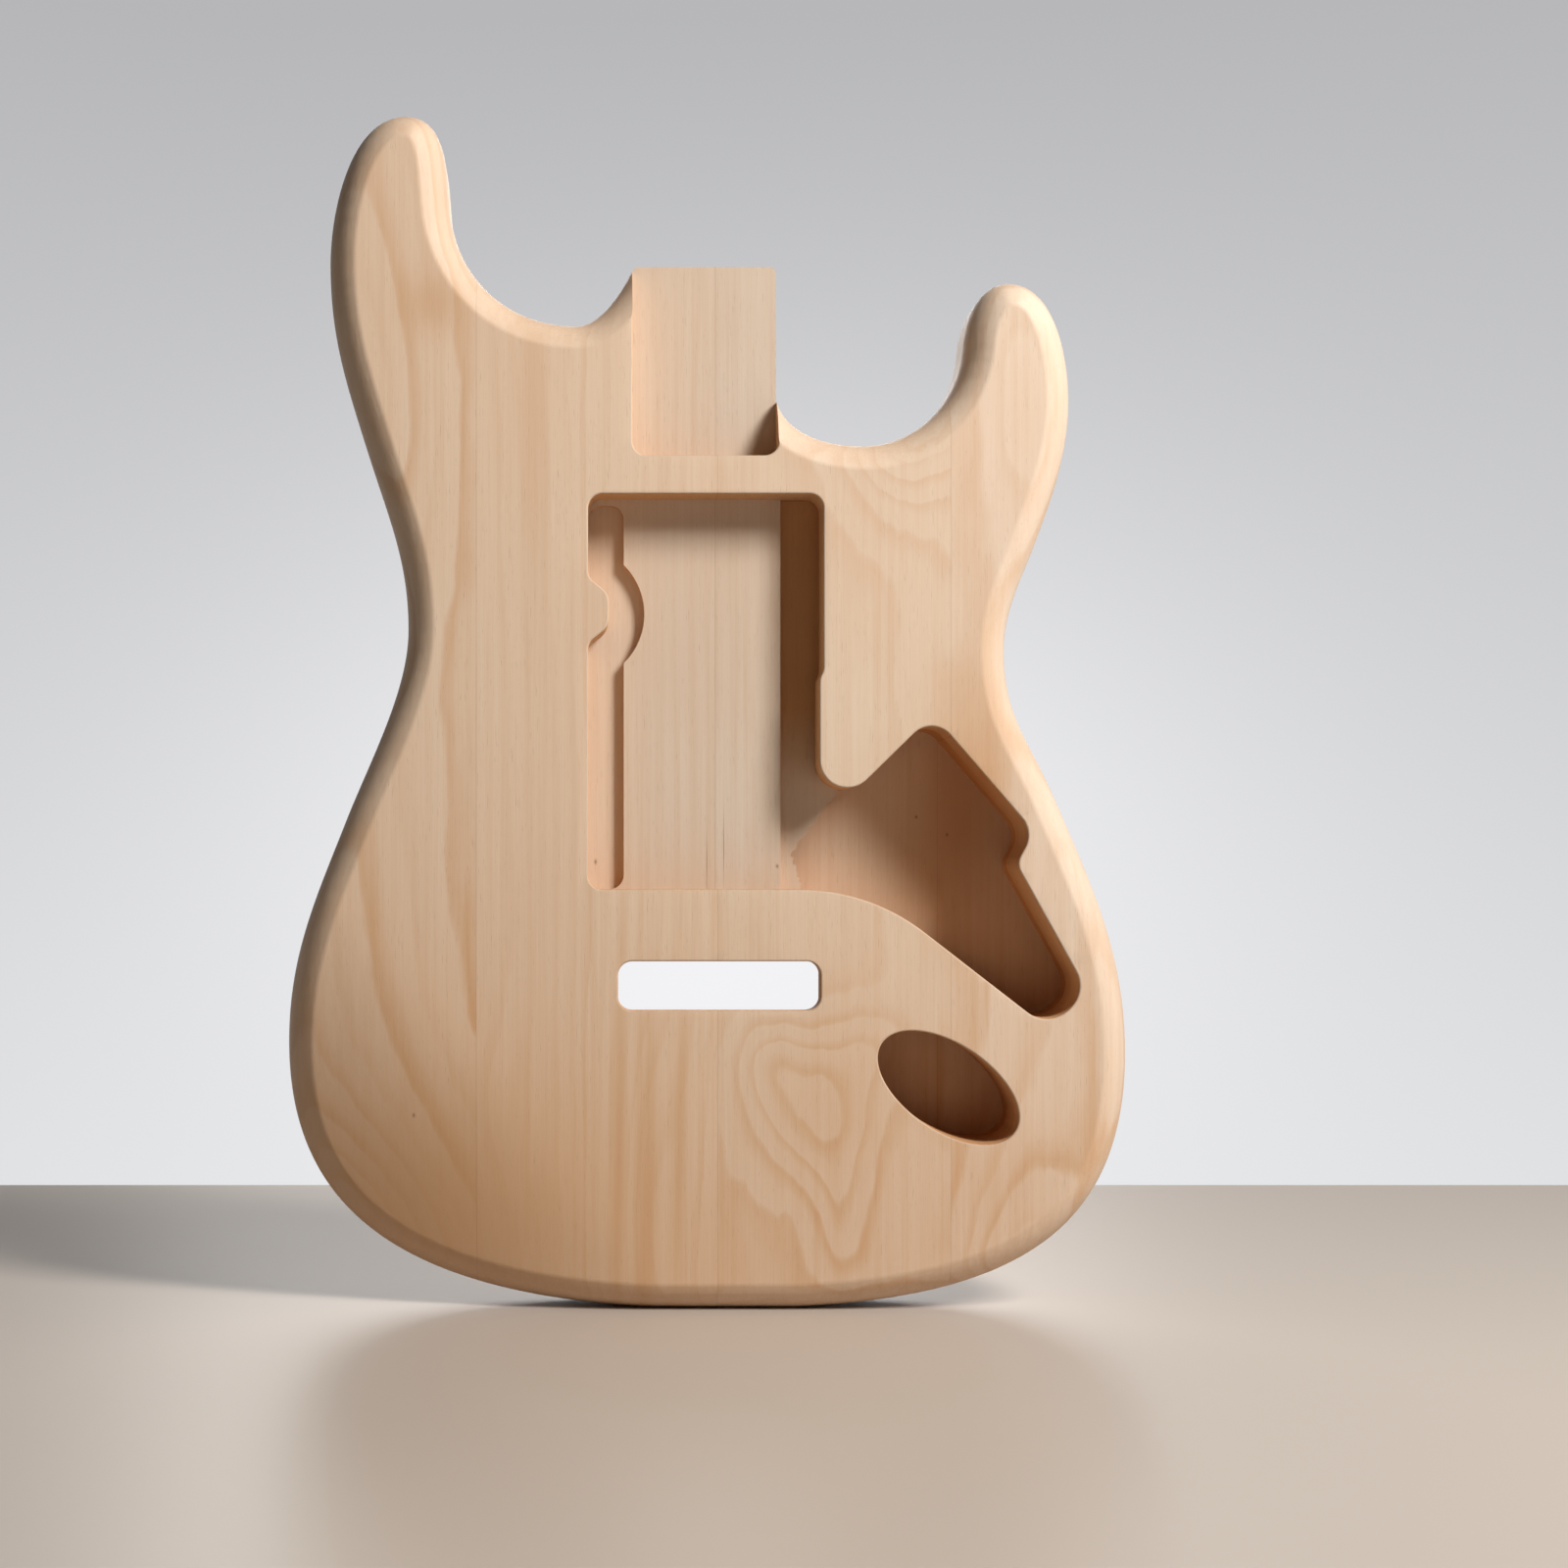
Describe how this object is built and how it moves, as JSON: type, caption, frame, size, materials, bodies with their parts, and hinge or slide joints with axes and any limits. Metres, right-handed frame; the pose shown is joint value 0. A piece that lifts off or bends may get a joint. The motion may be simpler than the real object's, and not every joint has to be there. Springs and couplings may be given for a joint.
{
  "type": "electric guitar body",
  "caption": "Bare double-cutaway electric guitar body of edge-glued boards, routed for a bolt-on neck, pickups, controls, a jack and a tremolo.",
  "frame": {"origin": "On the surface that the butt stands on, in the middle of the body's width and of its thickness", "axes": "+X to the treble side, -Y out of the front face, +Z from the butt up to the horns"},
  "size_m": [0.3244, 0.0444, 0.4604],
  "materials": {
    "bass_outer_wood": "bare, sanded",
    "bass_inner_wood": "bare, sanded",
    "treble_inner_wood": "bare, sanded",
    "treble_outer_wood": "bare, sanded"
  },
  "bodies": {
    "root": {"bass_outer_board": "bass_outer_wood", "bass_inner_board": "bass_inner_wood", "treble_inner_board": "treble_inner_wood", "treble_outer_board": "treble_outer_wood"}
  },
  "joints": []
}
